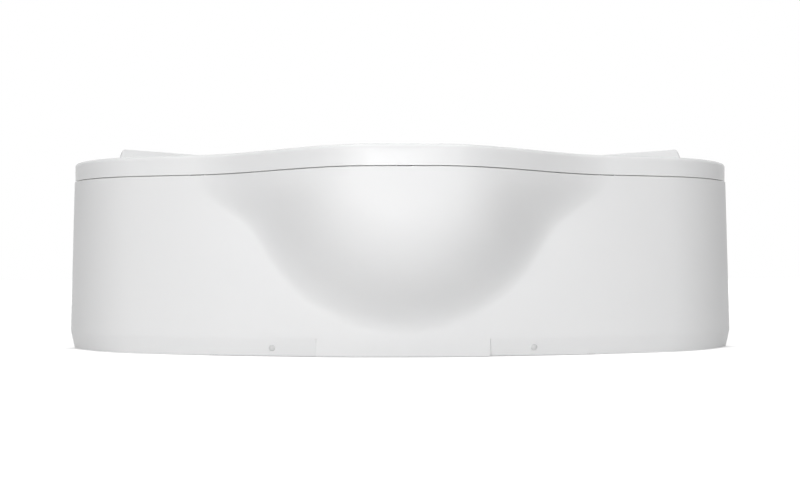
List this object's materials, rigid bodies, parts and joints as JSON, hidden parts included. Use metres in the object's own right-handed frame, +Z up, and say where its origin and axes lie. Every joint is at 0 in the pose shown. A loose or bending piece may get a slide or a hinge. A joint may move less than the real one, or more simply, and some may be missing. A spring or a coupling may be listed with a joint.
{
  "type": "corner bathtub",
  "caption": "Symmetric white corner bath with a bowed front, a removable bulging front panel, a steel cradle on screw feet, wall hangers and a pop-up waste with overflow.",
  "frame": {"origin": "middle of the bounding box at floor level", "axes": "+X to the right along the front, +Y towards the room's corner, +Z up"},
  "size_m": [2.1392, 1.606, 0.658],
  "materials": {
    "white_acrylic": "glossy white acrylic on a bonded backing",
    "panel_acrylic": "glossy white acrylic sheet",
    "cap_plastic": "white moulded plastic",
    "rubber": "matt black rubber",
    "chrome": "polished chrome",
    "waste_plastic": "satin white plastic",
    "black_plastic": "satin black plastic",
    "board": "raw particle board",
    "galvanised_tube": "galvanised square tube",
    "zinc_steel": "bright zinc plating",
    "black_steel": "black powder-coated steel"
  },
  "bodies": {
    "tub": {"back_rails": "galvanised_tube", "base_board": "board", "board_screws": "zinc_steel", "cable_clips": "black_plastic", "control_cable": "black_plastic", "corner_post": "galvanised_tube", "cross_rails": "galvanised_tube", "drain_cup": "waste_plastic", "drain_flange": "chrome", "drain_gasket": "rubber", "end_posts": "galvanised_tube", "end_rail": "galvanised_tube", "front_panel": "panel_acrylic", "front_posts": "galvanised_tube", "front_rail": "galvanised_tube", "left_wall_hanger": "zinc_steel", "lock_nuts": "zinc_steel", "outlet_pipe": "waste_plastic", "overflow_body": "waste_plastic", "overflow_gasket": "rubber", "overflow_nuts": "waste_plastic", "overflow_pipe": "waste_plastic", "overflow_ring": "chrome", "panel_foot_brackets": "zinc_steel", "panel_screws": "zinc_steel", "panel_top_brackets": "black_steel", "panel_top_screws": "zinc_steel", "post_plugs": "black_plastic", "rail_end_caps": "black_plastic", "right_wall_hanger": "zinc_steel", "rim_pads": "rubber", "screw_cover_caps": "cap_plastic", "trap_body": "waste_plastic", "trap_cup": "waste_plastic", "trap_nuts": "waste_plastic", "tub_shell": "white_acrylic"},
    "left_end_foot_pad": {"left_end_foot": "black_plastic"},
    "left_end_screw": {"left_end_leg_stud": "zinc_steel"},
    "right_end_foot_pad": {"right_end_foot": "black_plastic"},
    "right_end_screw": {"right_end_leg_stud": "zinc_steel"},
    "left_front_foot_pad": {"left_front_foot": "black_plastic"},
    "left_front_screw": {"left_front_leg_stud": "zinc_steel"},
    "right_front_foot_pad": {"right_front_foot": "black_plastic"},
    "right_front_screw": {"right_front_leg_stud": "zinc_steel"},
    "corner_foot_pad": {"corner_foot": "black_plastic"},
    "corner_screw": {"corner_leg_stud": "zinc_steel"},
    "knob": {"overflow_knob": "chrome"},
    "plug": {"drain_plug": "chrome", "plug_seal": "rubber"}
  },
  "joints": [
    {"name": "left_end_height", "type": "slide", "parent": "tub", "child": "left_end_foot_pad", "axis": [0, 0, -1], "range_m": [-0.002, 0.03]},
    {"name": "left_end_turn", "type": "hinge", "parent": "left_end_foot_pad", "child": "left_end_screw", "pos_m": [-0.93066, -0.24347, 0.03], "axis": [0, 0, -1], "range_deg": [-412, 6172]},
    {"name": "right_end_height", "type": "slide", "parent": "tub", "child": "right_end_foot_pad", "axis": [0, 0, -1], "range_m": [-0.002, 0.03]},
    {"name": "right_end_turn", "type": "hinge", "parent": "right_end_foot_pad", "child": "right_end_screw", "pos_m": [0.93066, -0.24347, 0.03], "axis": [0, 0, -1], "range_deg": [-412, 6172]},
    {"name": "left_front_height", "type": "slide", "parent": "tub", "child": "left_front_foot_pad", "axis": [0, 0, -1], "range_m": [-0.002, 0.03]},
    {"name": "left_front_turn", "type": "hinge", "parent": "left_front_foot_pad", "child": "left_front_screw", "pos_m": [-0.56, -0.4719, 0.03], "axis": [0, 0, -1], "range_deg": [-412, 6172]},
    {"name": "right_front_height", "type": "slide", "parent": "tub", "child": "right_front_foot_pad", "axis": [0, 0, -1], "range_m": [-0.002, 0.03]},
    {"name": "right_front_turn", "type": "hinge", "parent": "right_front_foot_pad", "child": "right_front_screw", "pos_m": [0.56, -0.4719, 0.03], "axis": [0, 0, -1], "range_deg": [-412, 6172]},
    {"name": "corner_height", "type": "slide", "parent": "tub", "child": "corner_foot_pad", "axis": [0, 0, -1], "range_m": [-0.002, 0.03]},
    {"name": "corner_turn", "type": "hinge", "parent": "corner_foot_pad", "child": "corner_screw", "pos_m": [0, 0.48436, 0.03], "axis": [0, 0, -1], "range_deg": [-412, 6172]},
    {"name": "knob_turn", "type": "hinge", "parent": "tub", "child": "knob", "pos_m": [0, 0.32353, 0.525], "axis": [0, -0.9455, 0.3257], "range_deg": [0, 90]},
    {"name": "plug_lift", "type": "slide", "parent": "tub", "child": "plug", "axis": [0, 0, 1], "range_m": [0, 0.01]}
  ],
  "couplings": [
    {"joint": "left_end_turn", "follows": "left_end_height", "rad_per_m": 3590.4},
    {"joint": "right_end_turn", "follows": "right_end_height", "rad_per_m": 3590.4},
    {"joint": "left_front_turn", "follows": "left_front_height", "rad_per_m": 3590.4},
    {"joint": "right_front_turn", "follows": "right_front_height", "rad_per_m": 3590.4},
    {"joint": "corner_turn", "follows": "corner_height", "rad_per_m": 3590.4},
    {"joint": "plug_lift", "follows": "knob_turn", "m_per_rad": 0.006365}
  ]
}
